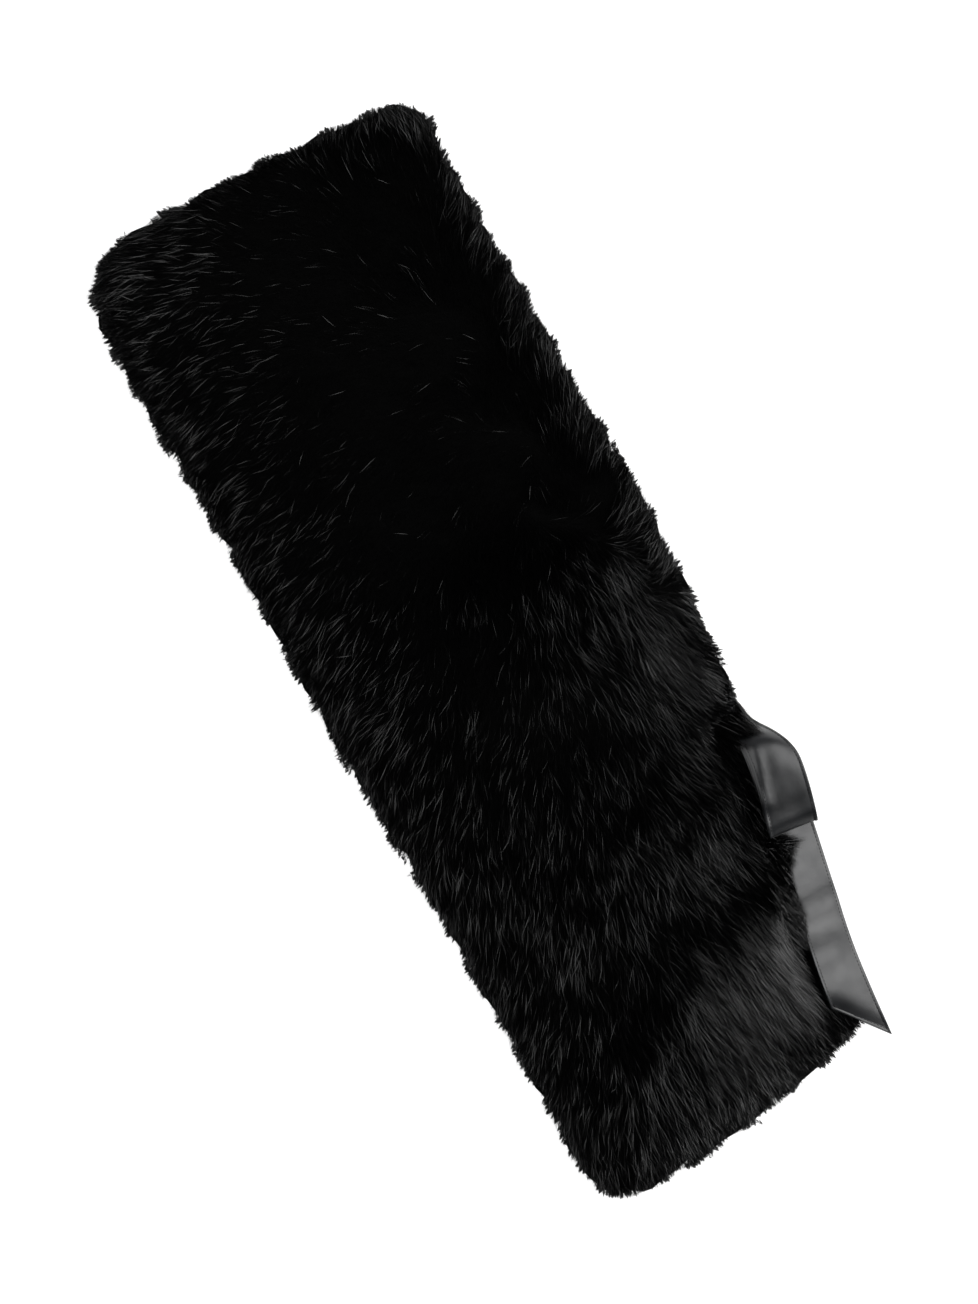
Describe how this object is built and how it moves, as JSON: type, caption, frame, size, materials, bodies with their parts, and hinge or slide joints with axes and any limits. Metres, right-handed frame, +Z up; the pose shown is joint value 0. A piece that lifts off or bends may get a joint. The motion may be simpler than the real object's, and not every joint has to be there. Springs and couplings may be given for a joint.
{
  "type": "fur collar wrap",
  "caption": "Long fur collar wrap laid flat: two fur panels sewn together, with a leather half bow of one loop and one tail caught in a side seam.",
  "frame": {"origin": "on the flat underside, below the middle of the wrap", "axes": "+X across the wrap to the edge with the bow, +Y along the wrap to its plain end, +Z up out of the front panel"},
  "size_m": [0.3312, 0.8789, 0.0501],
  "materials": {
    "fur": "long glossy pile",
    "leather": "satin"
  },
  "bodies": {
    "root": {"fur_front": "fur", "fur_back": "fur", "ribbon_loop": "leather", "ribbon_tail": "leather"}
  },
  "joints": []
}
